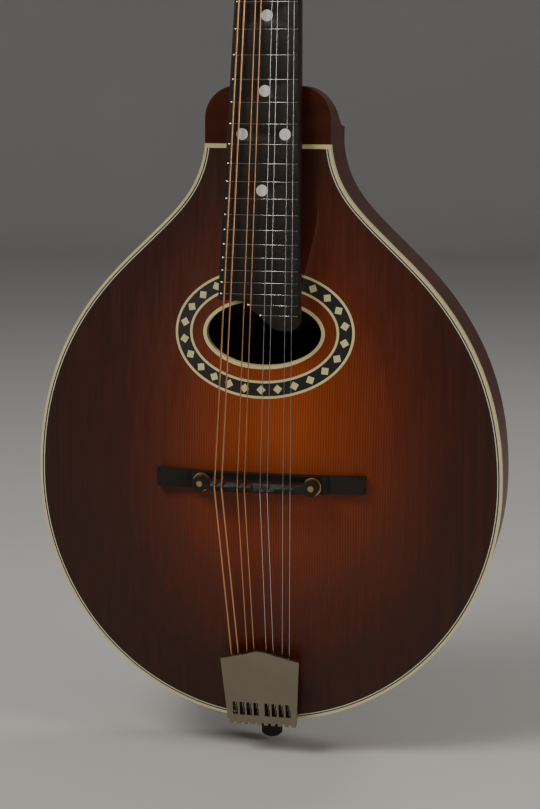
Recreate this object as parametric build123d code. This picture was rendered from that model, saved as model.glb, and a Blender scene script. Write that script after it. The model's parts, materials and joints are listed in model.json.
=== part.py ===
from build123d import *
from math import atan2, cos, degrees, pi, radians, sin, sqrt, tan
import os

os.makedirs("parts", exist_ok=True)

# An oval-hole, A-shaped mandolin, standing upright: +Z runs up the neck, the front faces -Y and +X is
# the side of the thin strings. The origin is in the middle of the neck at the nut, where a hanger's
# fork takes it. Sizes are in millimetres and degrees.
# "station" is the distance down the body from the joint with the neck (the joint fret), and "lift" is
# the height in front of the plane of the top's edge. "run" is the distance down the fingerboard from
# the nut.

# Scale and neck
scale_length = 352.4
fret_count = 24
joint_fret = 12
neck_angle = 6.66
board_lift_at_joint = 10.7
origin_depth = 10.0
nut_width = 28.7
board_taper = 0.0572
riser_length = 62.0
riser_gap = 0.5
riser_inset = 1.5
board_thickness = 5.0
neck_depth_at_nut = 14.5
neck_depth_at_heel = 17.5
nut_thickness = 4.5

# Body
body_half_width = 126.6
shoulder_half_width = 33.4
shoulder_length = 30.0
shoulder_round = 17.0
heel_cap_length = 9.0
heel_cap_thickness = 2.0
tenon_half_width = 8.0
tenon_flare = 3.0
tenon_length = 14.0
tenon_margin = 3.0
upper_length = 179.3
lower_length = 133.7
rim_depth = 45.0
rib_thickness = 2.0
top_edge_thickness = 5.0
back_edge_thickness = 4.0
top_rise = 15.0
back_rise = 12.0
plate_thickness = 4.4
arch_centre_station = 190.0
arch_fullness = 1.3
ledge_width = 4.0
cavity_inset = 10.0
lining_width = 6.0
lining_height = 8.0
head_block_length = 42.0
tail_block_length = 16.0
tail_block_half_width = 30.0
brace_station = 146.0
brace_width = 7.0
brace_height = 9.0
brace_half_length = 84.0

# Edge trim
binding_width = 1.4
crosspiece_width = 2.3
purfling_black_width = 0.65
purfling_white_width = 0.5
purfling_depth = 1.5

# Sound hole and its rosette, all ovals about one centre
hole_station = 98.3
hole_half_width = 30.8
hole_half_height = 16.8
hole_binding_width = 1.9
middle_ring_inset = 8.0
outer_ring_inset = 16.1
ring_width = 1.3
inlay_depth = 1.5
diamond_count = 26
diamond_side = 3.5

# Headstock
headstock_angle = 13.0
headstock_length = 148.0
headstock_root_half_width = 29.0
headstock_tip_half_width = 31.5
headstock_thickness = 15.0
veneer_thickness = 1.5
headstock_step = 4.0
first_post = 36.0
post_spacing = 23.0
posts_per_side = 4
post_half_spacing = 19.0

# Tuners
post_radius = 3.0
post_height = 12.5
string_hole_radius = 0.7
string_hole_height = 8.0
plate_width = 15.0
tuner_plate_thickness = 1.2
gear_teeth = 14
gear_radius = 4.2
gear_face = 2.2
gear_hub_radius = 1.8
bushing_radius = 4.3
bushing_length = 6.0
small_screw_radius = 0.9
small_screw_head_radius = 1.7
small_screw_head_height = 1.0
tooth_depth = 0.45
worm_radius = 1.9
worm_length = 8.0
mesh_clearance = 0.3
key_radius = 1.4
key_reach = 37.0
button_length = 11.0
button_height = 14.0
button_thickness = 7.0
ear_thickness = 1.2
ear_half_width = 2.6
turning_clearance = 0.06
gap = 0.3

# Strings: diameter and where each course crosses the saddle, the slot spread and the nut
string_action = 1.2
courses = ["g", "d", "a", "e"]
string_diameter = {"g": 1.02, "d": 0.66, "a": 0.38, "e": 0.28}
saddle_offset = {"g": 0.0, "d": 0.0, "a": 1.6, "e": 0.0}
saddle_course_spacing = 12.1
saddle_pair_spacing = 3.8
nut_course_spacing = 7.2
nut_pair_spacing = 2.6
hook_spacing = 3.85
hook_group_gap = 2.4
compensation = 1.5
loop_wire_radius = 0.2
seat_clearance = 0.05
wrap_turns = 3
wrap_height = 5.0
loop_radius = 0.9
twist_radius = 0.6
twist_length = 5.0

# Frets, nut and markers
fret_crown_radius = 1.05
fret_height = 0.95
fret_tang_width = 0.6
fret_tang_depth = 1.8
fret_end_margin = 1.2
marker_radius = 3.0
marker_depth = 1.2
marker_frets = [5, 7, 10, 15]
double_marker_fret = 12
double_marker_offset = 11.3
nut_height = 1.9

# Bridge
bridge_half_length = 56.2
bridge_base_width = 9.4
bridge_foot_height = 5.0
bridge_base_height = 5.0
bridge_step = 36.0
bridge_post_half_spacing = 29.7
bridge_post_radius = 1.6
bridge_thread_pitch = 0.8
wheel_radius = 5.0
wheel_thickness = 1.8
wheel_gap = 2.2
wheel_knurls = 30
knurl_depth = 0.35
wheel_bore = 1.66
saddle_bore = 1.7
saddle_relief = 2.0
saddle_end_radius = 4.1
saddle_end_height = 5.2
saddle_width = 5.2

# Tailpiece and end pin
tailpiece_top_station = 275.5
tailpiece_top_lift = 13.8
tailpiece_tail_lift = 5.5
tailpiece_top_half_width = 21.6
tailpiece_tail_half_width = 19.2
tailpiece_peak = 5.2
tailpiece_thickness = 1.8
slot_width = 2.8
slot_length = 8.0
hook_radius = 0.5
hook_station_inset = 7.0
hook_lift = 3.4
hook_reach = 3.6
slot_margin = 2.6
scallops = 10
sill_lift = 0.6
leg_gap = 0.1
leg_thickness = 2.0
leg_half_width = 15.0
leg_length = 40.0
end_pin_radius = 5.8
end_pin_shank = 3.2
end_pin_reach = 14.0
screw_radius = 1.4
screw_head_radius = 2.8
screw_head_height = 1.5
screw_length = 14.0
end_pin_waist = 3.8

# Truss rod
truss_rod_radius = 2.4
truss_rod_depth = 5.5
truss_rod_end_run = 165.0
truss_nut_radius = 3.2
truss_nut_length = 8.5
truss_pocket_half_width = 4.2
truss_pocket_length = 20.0
truss_cover_length = 32.0
truss_cover_thickness = 1.8

# Places worked out from the sizes above
tail_station = upper_length + lower_length


def fret_run(number):
    """Distance of a fret from the nut."""
    return scale_length * (1 - 2 ** (-number / 12))


lean = radians(neck_angle)
joint_run = fret_run(joint_fret)
edge_y = board_lift_at_joint - origin_depth - joint_run * sin(lean)
joint_z = -joint_run * cos(lean)
body_frame = Plane(origin=(0, edge_y, joint_z), x_dir=(1, 0, 0), z_dir=(0, -1, 0))
board_frame = Plane(origin=(0, -origin_depth, 0), x_dir=(1, 0, 0), z_dir=(0, -cos(lean), sin(lean)))
head_tilt = lean + radians(headstock_angle)
head_origin = board_frame.from_local_coords(Vector(0, nut_thickness, -headstock_step))
head_frame = Plane(origin=head_origin, x_dir=(1, 0, 0), z_dir=(0, -cos(head_tilt), sin(head_tilt)))


def on_body(shape):
    """Place a shape drawn as (x, -station, lift)."""
    return body_frame.location * shape


def on_board(shape):
    """Place a shape drawn as (x, -run, height over the board's face)."""
    return board_frame.location * shape


def on_head(shape):
    """Place a shape drawn as (x, distance up the headstock, height over its face)."""
    return head_frame.location * shape


def save(name, *solids):
    """Write one sub-part, which may hold several separate solids."""
    pieces = []
    for solid in solids:
        pieces.extend(solid.solids())
    shape = pieces[0] if len(pieces) == 1 else Compound(children=pieces)
    export_step(shape, f"parts/{name}.step")


def block(x_low, x_high, y_low, y_high, z_low, z_high):
    """A box from its limits along the three axes."""
    size = (x_high - x_low, y_high - y_low, z_high - z_low)
    middle = ((x_high + x_low) / 2, (y_high + y_low) / 2, (z_high + z_low) / 2)
    return Pos(*middle) * Box(*size)


def rod(start, end, radius):
    """A round bar from one point to another."""
    start = Vector(*start)
    along = Vector(*end) - start
    return Solid.make_cylinder(radius, along.length, Plane(origin=start, z_dir=along))


# Body outline
flare = [(0.11, 0.058), (0.229, 0.236), (0.3815, 0.5375), (0.5655, 0.798), (0.7825, 0.956)]


def flare_edge():
    """The right-hand edge from the neck joint down to the widest place."""
    growth = body_half_width - shoulder_half_width
    points = [(shoulder_half_width, 0)]
    for down, out in flare:
        points.append((shoulder_half_width + growth * out, -upper_length * down))
    points.append((body_half_width, -upper_length))
    return Spline(*points, tangents=[(0.08, -1), (0, -1)], tangent_scalars=[1, 1])


flare_curve = flare_edge()


def flare_start(head):
    """Where along the flare a station is reached, by halving."""
    low, high = 0.0, 1.0
    for _ in range(30):
        middle = (low + high) / 2
        if -(flare_curve @ middle).Y < head:
            low = middle
        else:
            high = middle
    return high if head > 0 else 0.0


def outline(inset=0.0, head=0.0, shrink=1.0, lift=0.0):
    """The body's outline, set in from the edge by inset, cut off square at station head, and then
    shrunk towards the middle of the arch."""
    start = flare_start(head)
    points = []
    steps = 9
    for step in range(steps + 1):
        place = start + (1 - start) * step / steps
        along = (flare_curve % place).normalized()
        point = flare_curve @ place
        points.append([point.X + along.Y * inset, point.Y - along.X * inset])
    points[0][1] = -head
    points[-1] = [body_half_width - inset, -upper_length]
    first = flare_curve % start
    centre = -arch_centre_station

    def shrunk(x, y):
        return (x * shrink, centre + (y - centre) * shrink, lift)

    right = Spline(
        *[shrunk(*point) for point in points],
        tangents=[(first.X, first.Y), (0, -1)],
        tangent_scalars=[1, 1],
    )
    round_end = EllipticalCenterArc(
        shrunk(0, -upper_length),
        (body_half_width - inset) * shrink,
        (lower_length - inset) * shrink,
        start_angle=180,
        arc_size=180,
    )
    left = right.mirror(Plane.YZ)
    across = Line(left @ 0, right @ 0)
    return Wire([across, right, round_end, left])


def outline_prism(inset, low, high, head=0.0):
    """The outline's area, filled from one lift to another."""
    return extrude(Face(outline(inset, head, lift=low)), high - low, dir=(0, 0, 1))


def outline_ring(outer, inner, low, high):
    """The strip between two insets."""
    return outline_prism(outer, low, high) - outline_prism(inner, low, high)


def arch_height(shrink, rise):
    """Height of the carved arch on the outline shrunk by this much: a cosine with a flat rim."""
    return rise * (0.5 + 0.5 * cos(pi * shrink ** arch_fullness))


arch_steps = [0.82, 0.68, 0.52, 0.36, 0.2, 0.08]


def arch_solid(rise, first_inset, base, side, sunk=0.0):
    """The carved arch as a mound on the plane lift = base. side is 1 for the top and -1 for the back,
    and sunk lowers the arch, for its hollow."""
    sections = [outline(first_inset, head=first_inset + 1, lift=base)]
    if sunk == 0.0:
        sections.append(outline(first_inset + 5, head=first_inset + 8, lift=base + side * 0.02 * rise))
    for shrink in arch_steps:
        height = arch_height(shrink, rise) - sunk
        sections.append(outline(shrink=shrink, lift=base + side * height))
    return Solid.make_loft(sections)


def oval_prism(extra, low, high):
    """The sound hole's oval, grown by extra, filled from one lift to another."""
    shape = Pos(0, -hole_station, low) * Ellipse(hole_half_width + extra, hole_half_height + extra)
    return extrude(shape, high - low, dir=(0, 0, 1))


def oval_ring(inner, width):
    """A tall oval tube, for cutting out rings of the top."""
    tall = top_rise + 10
    return oval_prism(inner + width, -tall, tall) - oval_prism(inner, -tall, tall)


def make_top():
    """The carved top with its edge trim and the rosette let into it."""
    reach = 2 * body_half_width
    crosspiece = block(-reach, reach, -crosspiece_width, 1, -top_edge_thickness, 1)
    field = outline_prism(binding_width, -top_edge_thickness, 0) - crosspiece
    binding = outline_prism(0, -top_edge_thickness, 0) - field
    first = binding_width + purfling_black_width
    second = first + purfling_white_width
    third = second + purfling_black_width
    outer_black = outline_ring(binding_width, first, -purfling_depth, 0) - crosspiece
    white = outline_ring(first, second, -purfling_depth, 0) - crosspiece
    inner_black = outline_ring(second, third, -purfling_depth, 0) - crosspiece
    rebate = outline_ring(binding_width, third, -purfling_depth, 0) - crosspiece

    mound = arch_solid(top_rise, ledge_width, 0, 1)
    hollow = arch_solid(top_rise, cavity_inset, -top_edge_thickness, 1, plate_thickness - top_edge_thickness)
    plate = field + mound - hollow - rebate

    # The rings round the hole are cut from the arch itself, so that they follow it
    local = mound & oval_prism(outer_ring_inset + 2 * ring_width, 0, 2 * top_rise)
    rosette_width = outer_ring_inset + ring_width - middle_ring_inset
    skin = (local - Pos(0, 0, -inlay_depth) * local) & oval_ring(middle_ring_inset, rosette_width)
    hole_binding = (local & oval_ring(0, hole_binding_width)) - hollow
    outer_ring = skin & oval_ring(outer_ring_inset, ring_width)
    middle_ring = skin & oval_ring(middle_ring_inset, ring_width)
    band = skin - outer_ring - middle_ring
    punched = band - rosette_tiles()
    diamonds = band - punched
    plate = plate - skin - oval_prism(hole_binding_width, -top_rise, 2 * top_rise)
    return {
        "top_plate": [plate],
        "top_binding": [binding],
        "purfling_black": [outer_black, inner_black],
        "purfling_white": [white],
        "soundhole_binding": [hole_binding],
        "rosette_rings": [outer_ring, middle_ring],
        "rosette_band": [punched],
        "rosette_diamonds": [diamonds],
    }, mound, hollow


def rosette_tiles():
    """Square posts stood on their corners along the middle of the rosette's band."""
    middle = (middle_ring_inset + ring_width + outer_ring_inset) / 2
    half_width = hole_half_width + middle
    half_height = hole_half_height + middle
    tiles = []
    for index in range(diamond_count):
        turn = oval_turn((index + 0.5) / diamond_count, half_width, half_height)
        slant = degrees(atan2(half_height * cos(turn), -half_width * sin(turn)))
        place = Pos(half_width * cos(turn), half_height * sin(turn) - hole_station, top_rise)
        tiles.append(place * Rot(0, 0, slant + 45) * Box(diamond_side, diamond_side, 2 * top_rise))
    return tiles


def oval_turn(share, half_width, half_height):
    """The angle parameter of an oval at a share of its way round, stepped by length."""
    steps = 720
    lengths = [0.0]
    for step in range(steps):
        turn = 2 * pi * (step + 0.5) / steps
        speed = ((half_width * sin(turn)) ** 2 + (half_height * cos(turn)) ** 2) ** 0.5
        lengths.append(lengths[-1] + speed)
    target = share * lengths[-1]
    for step in range(steps):
        if lengths[step + 1] >= target:
            part = (target - lengths[step]) / (lengths[step + 1] - lengths[step])
            return 2 * pi * (step + part) / steps
    return 2 * pi


def make_back():
    """The carved back, arched the other way."""
    inner = -rim_depth + back_edge_thickness
    mound = arch_solid(back_rise, ledge_width, -rim_depth, -1)
    hollow = arch_solid(back_rise, cavity_inset, inner, -1, plate_thickness - back_edge_thickness)
    return outline_prism(0, -rim_depth, inner) + mound - hollow


def make_body_frame():
    """Rim, blocks and linings between the two plates."""
    top_face = -top_edge_thickness
    back_face = -rim_depth + back_edge_thickness
    reach = 2 * body_half_width
    rim = outline_ring(0, rib_thickness, back_face, top_face)
    inside = outline_prism(rib_thickness, back_face, top_face)
    head_zone = block(-reach, reach, -head_block_length, 1, -2 * rim_depth, rim_depth)
    half = tail_block_half_width
    tail_inner = -tail_station + tail_block_length
    tail_zone = block(-half, half, -tail_station - 1, tail_inner, -2 * rim_depth, rim_depth)
    head_block = (inside & head_zone) - tenon_prism()
    tail_block = inside & tail_zone
    strip = outline_ring(rib_thickness, rib_thickness + lining_width, top_face - lining_height, top_face)
    strip = strip - head_zone - tail_zone
    lower = back_face + lining_height - top_face
    return rim, head_block, tail_block, strip, Pos(0, 0, lower) * strip


def make_brace(hollow):
    """The one brace across the top, below the sound hole, fitted to the underside of the arch."""
    low = top_rise - plate_thickness - brace_height
    near = -brace_station - brace_width / 2
    far = -brace_station + brace_width / 2
    beam = block(-brace_half_length, brace_half_length, near, far, low, top_rise)
    return beam & hollow


def tenon_prism():
    """The dovetail that holds the neck in the head block."""
    deep = -rim_depth + back_edge_thickness + tenon_margin
    corners = [
        (-tenon_half_width, 0),
        (tenon_half_width, 0),
        (tenon_half_width + tenon_flare, -tenon_length),
        (-tenon_half_width - tenon_flare, -tenon_length),
    ]
    face = Face(Wire.make_polygon([Vector(x, y, deep) for x, y in corners]))
    return extrude(face, -top_edge_thickness - deep, dir=(0, 0, 1))


def neck_section(plane, width, depth, squareness):
    """A flat-faced neck section: a line across the front and a rounded back. squareness 2 is an oval."""
    points = []
    count = 12
    for step in range(count + 1):
        turn = pi * step / count
        across = cos(turn)
        down = sin(turn)
        x = width / 2 * abs(across) ** (2 / squareness) * (1 if across > 0 else -1)
        points.append((x if 0 < step < count else width / 2 * round(across), -depth * abs(down) ** (2 / squareness)))
    curve = Spline(*points, tangents=[(0, -1), (0, 1)], tangent_scalars=[1, 1])
    front = Line(points[-1], points[0])
    return plane.location * Wire([curve, front])


def board_half_width(run):
    """Half the fingerboard's width at a distance from the nut."""
    return (nut_width + board_taper * run) / 2


def board_section(run, depth, squareness=2.0):
    """A neck section square to the fingerboard, hung from its underside."""
    origin = board_frame.from_local_coords(Vector(0, -run, -board_thickness))
    plane = Plane(origin=origin, x_dir=(1, 0, 0), z_dir=(0, -sin(lean), -cos(lean)))
    return neck_section(plane, 2 * board_half_width(run), depth, squareness)


def head_section(up, width, depth, squareness):
    """A neck section square to the headstock, hung from its veneer's underside."""
    origin = head_frame.from_local_coords(Vector(0, up, -veneer_thickness))
    plane = Plane(origin=origin, x_dir=(1, 0, 0), z_dir=(0, -sin(head_tilt), -cos(head_tilt)))
    return neck_section(plane, width, depth, squareness)


def headstock_outline():
    """The paddle-shaped headstock, drawn upwards from the nut."""
    root = nut_width / 2
    flare_end = first_post - gear_radius * 2.3
    tip = headstock_length - 12
    right = Spline(
        (root, 0),
        (root + 1.2, flare_end * 0.42),
        (headstock_root_half_width - 3, flare_end * 0.82),
        (headstock_root_half_width, flare_end),
        tangents=[(0, 1), (0.1, 1)],
        tangent_scalars=[1, 1],
    )
    side = Line(right @ 1, (headstock_tip_half_width, tip))
    crown = Spline(
        (headstock_tip_half_width, tip),
        (headstock_tip_half_width * 0.75, tip + 7),
        (0, headstock_length),
        tangents=[(0, 1), (-1, 0)],
        tangent_scalars=[1, 1],
    )
    edges = [right, side, crown]
    mirrored = [edge.mirror(Plane.YZ) for edge in edges]
    base = Line((-root, 0), (root, 0))
    return Wire([base] + edges + mirrored)


def shoulder_prism(low, high):
    """The rounded shoulder of the neck's heel above the joint, as seen from the front."""
    half = shoulder_half_width
    corners = [(half, 0), (half, shoulder_length), (-half, shoulder_length), (-half, 0)]
    face = Face(Wire.make_polygon([Vector(x, y, low) for x, y in corners]))
    tops = face.vertices().filter_by(lambda vertex: vertex.Y > shoulder_length / 2)
    face = Face(face.outer_wire().fillet_2d(shoulder_round, tops))
    return extrude(face, high - low, dir=(0, 0, 1))


def board_underside(station):
    """Lift of the fingerboard's underside at a station."""
    return board_lift_at_joint + station * tan(lean) - board_thickness / cos(lean)


def across_body(edges, half):
    """A side view, drawn in the plane x = 0 as (station, lift), stretched to both sides."""
    return extrude(Face(Wire(edges)), half, dir=(1, 0, 0), both=True)


def side_point(station, lift):
    """A point of a side view."""
    return (0, -station, lift)


def make_heel():
    """The heel below the shoulders, hollowed behind to meet the neck's back."""
    cap_lift = -rim_depth + heel_cap_thickness
    neck_back = board_underside(-shoulder_length) - neck_depth_at_heel / cos(lean)
    foot = side_point(-heel_cap_length, cap_lift)
    top = side_point(-shoulder_length, neck_back)
    waist = side_point(
        -heel_cap_length - 0.22 * (shoulder_length - heel_cap_length), cap_lift + 0.6 * (neck_back - cap_lift)
    )
    edges = [
        Line(side_point(0, 0), side_point(0, cap_lift)),
        Line(side_point(0, cap_lift), foot),
        ThreePointArc(foot, waist, top),
        Line(top, side_point(-shoulder_length, 0)),
        Line(side_point(-shoulder_length, 0), side_point(0, 0)),
    ]
    heel = shoulder_prism(-rim_depth, 0) & across_body(edges, 2 * shoulder_half_width)
    reach = 2 * shoulder_half_width
    cap_zone = block(-reach, reach, 0, heel_cap_length, -rim_depth, cap_lift)
    return heel, shoulder_prism(-rim_depth, 0) & cap_zone


def make_riser():
    """The wedge under the fingerboard where it stands clear of the top."""
    points = []
    for step in range(6):
        station = riser_length * step / 5
        shrink = (arch_centre_station - station) / arch_centre_station
        points.append(side_point(station, arch_height(shrink, top_rise) + riser_gap))
    top_end = side_point(riser_length, board_underside(riser_length))
    top_start = side_point(0, board_underside(0))
    edges = [Polyline(*points), Line(points[-1], top_end), Line(top_end, top_start), Line(top_start, points[0])]
    wires = []
    for edge in edges:
        wires.extend(edge.edges())
    return across_body(wires, board_half_width(joint_run) - riser_inset)


def board_rod(low_run, high_run, depth, radius):
    """A bar along the neck, this far below the fingerboard's face."""
    return rod((0, -low_run, -depth), (0, -high_run, -depth), radius)


def make_neck():
    """The neck with its headstock, heel and tenon, and the cap on the heel."""
    heel_run = joint_run - shoulder_length
    shaft = Solid.make_loft(
        [
            board_section(0, neck_depth_at_nut),
            board_section(heel_run / 2, (neck_depth_at_nut + neck_depth_at_heel) / 2),
            board_section(heel_run, neck_depth_at_heel),
            board_section(joint_run, neck_depth_at_heel),
        ]
    )
    wood = headstock_thickness - veneer_thickness
    throat = Solid.make_loft(
        [
            board_section(0, neck_depth_at_nut),
            head_section(1, nut_width, neck_depth_at_nut, 2.3),
            head_section(9, nut_width + 1.5, wood + 0.4, 3.5),
            head_section(17, nut_width + 7, wood - 0.3, 7),
        ]
    )
    slab = Pos(0, 0, -veneer_thickness) * extrude(Face(headstock_outline()), wood, dir=(0, 0, -1))
    heel, cap = make_heel()
    reach = 2 * body_half_width
    body_zone = block(-reach, reach, -reach, 0, -reach, 0)
    shaft = shaft - on_body(body_zone)
    neck = on_body(heel) + shaft + throat + on_head(slab) + on_body(make_riser() + tenon_prism())
    rod_depth = board_thickness + truss_rod_depth
    pocket_floor = -rod_depth - truss_nut_radius - gap
    half = truss_pocket_half_width
    pocket_start = nut_thickness + gap
    pocket = block(-half, half, pocket_start, pocket_start + truss_pocket_length, pocket_floor, 2)
    bore = board_rod(-pocket_start - 1, truss_rod_end_run, rod_depth, truss_rod_radius)
    veneer = on_head(extrude(Face(headstock_outline()), veneer_thickness, dir=(0, 0, -1)))
    neck = neck - veneer - on_board(pocket) - on_board(bore)
    return neck, on_body(cap), veneer - on_board(pocket)


def make_fingerboard():
    """Fingerboard with fret slots and marker pockets, the frets and the markers, on the board's frame."""
    bass_end = fret_run(22) + 3.0
    step_start = bass_end + 0.8
    tongue_end = fret_run(fret_count) + 7.8
    edge = board_half_width(bass_end)
    wide = board_half_width(tongue_end - 4)
    left = board_half_width(0)
    lines = [
        Polyline((-left, 0), (-edge, -bass_end), (step_x(step_start), -step_start), (step_x(step_end()), -step_end())),
        ThreePointArc((step_x(step_end()), -step_end()), (9, -tongue_end + 0.8), (14, -tongue_end)),
        ThreePointArc((14, -tongue_end), (19, -tongue_end + 1), (wide, -tongue_end + 4.5)),
        Polyline((wide, -tongue_end + 4.5), (left, 0), (-left, 0)),
    ]
    edges = []
    for line in lines:
        edges.extend(line.edges())
    board = extrude(Face(Wire(edges)), board_thickness, dir=(0, 0, -1))
    frets = []
    for number in range(1, fret_count + 1):
        frets.append(make_fret(number))
    markers = []
    for fret in marker_frets + [double_marker_fret]:
        middle = (fret_run(fret) + fret_run(fret - 1)) / 2
        places = [-double_marker_offset, double_marker_offset] if fret == double_marker_fret else [0]
        for x in places:
            markers.append(rod((x, -middle, -marker_depth), (x, -middle, 0), marker_radius))
    return board - frets - markers, frets, markers


def step_x(run):
    """The slanting end of the fingerboard below its last full fret."""
    return -9.0 + 1.25 * (run - fret_run(22) - 3.8)


def step_end():
    """Run at which the slanting end meets the rounded tongue."""
    return fret_run(fret_count) + 3.5


def make_fret(number):
    """One fret: a domed crown on a thin tang, short of the board's edges."""
    run = fret_run(number)
    right = board_half_width(run) - fret_end_margin
    left = -right if number <= 22 else step_x(run) + fret_end_margin
    crown = rod((left, -run, fret_height - fret_crown_radius), (right, -run, fret_height - fret_crown_radius),
                fret_crown_radius)
    crown = crown & block(left, right, -run - 2, -run + 2, 0, 2)
    tang = block(left, right, -run - fret_tang_width / 2, -run + fret_tang_width / 2, -fret_tang_depth, 0.2)
    return (crown + tang).solids()[0]


# Strings. Places run from the bass side, so the thick strings come first
bridge_station = joint_run * cos(lean) + compensation
string_base_at_nut = fret_height + 0.3
rise_to_joint = fret_height + string_action - string_base_at_nut
base_at_saddle = string_base_at_nut + rise_to_joint * scale_length / joint_run
saddle_lift = board_lift_at_joint + bridge_station * tan(lean) + base_at_saddle / cos(lean)
hook_station = tail_station - hook_station_inset


def string_x(index, course_spacing, pair_spacing):
    """Sideways place of string 0 to 7."""
    course = index // 2
    return (course - 1.5) * course_spacing + (index % 2 - 0.5) * pair_spacing


def hook_x(index):
    """Sideways place of a string's hook and slot on the tailpiece."""
    side = 1 if index > 3 else -1
    return (index - 3.5) * hook_spacing + side * (hook_group_gap / 2 - hook_spacing / 2 + 1.9)


def post_place(index):
    """Post of string 0 to 7 on the headstock: the outer strings go to the nearest posts."""
    side = 1 if index > 3 else -1
    rank = index if side < 0 else 7 - index
    return side * post_half_spacing, first_post + rank * post_spacing


def string_radius(index):
    """Radius of string 0 to 7."""
    return string_diameter[courses[index // 2]] / 2


def string_points(index):
    """The string's line: hook, saddle, nut and the inner side of its post, just short of the turns round it."""
    radius = string_radius(index)
    offset = saddle_offset[courses[index // 2]]
    hook = body_frame.from_local_coords(Vector(hook_x(index), -hook_station + 3.4, hook_lift + 0.8))
    saddle_x = string_x(index, saddle_course_spacing, saddle_pair_spacing)
    lift = saddle_lift + radius + seat_clearance
    saddle = body_frame.from_local_coords(Vector(saddle_x, -bridge_station - offset, lift))
    nut_x = string_x(index, nut_course_spacing, nut_pair_spacing)
    height = string_base_at_nut + radius + seat_clearance
    nut = board_frame.from_local_coords(Vector(nut_x, 0.8, height))
    post_x, post_up = post_place(index)
    inner = post_radius + radius + gap
    outer = post_radius + 3 * radius + gap
    side = 1 if post_x > 0 else -1
    short = sqrt(outer**2 - inner**2)
    post = head_frame.from_local_coords(Vector(post_x - side * inner, post_up - short, wrap_height))
    return hook, saddle, nut, post


def thick_path(points, radius):
    """A bent wire through the points, with a ball at each bend."""
    pieces = []
    for start, end in zip(points, points[1:]):
        pieces.append(rod(start, end, radius))
    for point in points[1:-1]:
        pieces.append(Pos(*point) * Sphere(radius))
    wire = pieces[0]
    for piece in pieces[1:]:
        wire = wire + piece
    return wire


def make_string(index):
    """One string with the twist and loop at its tail end."""
    points = string_points(index)
    wire = thick_path(points, string_radius(index))
    along = (points[1] - points[0]).normalized()
    twist = rod(points[0], points[0] + along * twist_length, twist_radius)
    ring = Pos(hook_x(index), -hook_station, hook_lift) * Rot(90, 0, 0) * Torus(loop_radius, loop_wire_radius)
    wire = wire + twist + on_body(ring)
    for side in (-1, 1):
        start = points[0] + Vector(side * (twist_radius - loop_wire_radius), 0, 0) + along * 0.5
        local_end = Vector(hook_x(index) + side * loop_radius, -hook_station, hook_lift)
        wire = wire + rod(start, body_frame.from_local_coords(local_end), loop_wire_radius)
    return wire


def string_grooves(clearance):
    """The strings' lines over the saddle and the nut, a little thicker, for cutting their slots."""
    grooves = []
    for index in range(8):
        grooves.append(thick_path(string_points(index), string_radius(index) + clearance))
    return grooves


def make_nut(neck, veneer, grooves):
    """The slotted nut, seated on the neck between fingerboard and headstock."""
    blank = block(-nut_width / 2, nut_width / 2, 0, nut_thickness, -board_thickness - 2, nut_height)
    nut = on_board(blank) - neck - veneer
    for groove in grooves:
        nut = nut - groove
    return nut


# Bridge. Its parts stand square to the top's edge plane, over the saddle's station
base_lift = arch_height((arch_centre_station - bridge_station) / arch_centre_station, top_rise) + bridge_base_height
wheel_lift = base_lift + wheel_gap
saddle_base_lift = wheel_lift + wheel_thickness + turning_clearance
saddle_end_lift = saddle_base_lift + saddle_end_height


def bridge_profile(corners, width):
    """A front view of a bridge part, drawn as (x, lift), given its width down the body."""
    y = -bridge_station + width / 2
    face = Face(Wire.make_polygon([Vector(x, y, lift) for x, lift in corners]))
    return extrude(face, width, dir=(0, -1, 0))


def both_sides(corners):
    """A symmetrical outline from the corners of its right half, top first."""
    return corners + [(-x, lift) for x, lift in reversed(corners)]


def make_bridge_base(mound):
    """The base: two feet and a raised middle, carved to sit on the arch."""
    end_lift = arch_height(bridge_half_length / body_half_width, top_rise) + bridge_foot_height
    step_lift = end_lift + 1.5
    corners = [
        (bridge_step - 1.5, base_lift),
        (bridge_step, base_lift - 0.6),
        (bridge_step + 1.2, step_lift),
        (bridge_half_length - 1, end_lift + 0.4),
        (bridge_half_length, end_lift - 0.8),
        (bridge_half_length, 0),
    ]
    return bridge_profile(both_sides(corners), bridge_base_width) - mound


def bridge_cylinder(side, low, high, radius):
    """An upright cylinder about one of the bridge's two posts."""
    x = side * bridge_post_half_spacing
    return rod((x, -bridge_station, low), (x, -bridge_station, high), radius)


def make_thumbwheel(side):
    """A knurled wheel that carries one end of the saddle."""
    points = []
    for step in range(2 * wheel_knurls):
        turn = pi * step / wheel_knurls
        radius = wheel_radius - (knurl_depth if step % 2 else 0)
        points.append(Vector(radius * cos(turn), radius * sin(turn), 0))
    disc = extrude(Face(Wire.make_polygon(points)), wheel_thickness, dir=(0, 0, 1))
    disc = Pos(side * bridge_post_half_spacing, -bridge_station, wheel_lift) * disc
    return disc - bridge_cylinder(side, wheel_lift - 1, wheel_lift + wheel_thickness + 1, wheel_bore)


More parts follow.
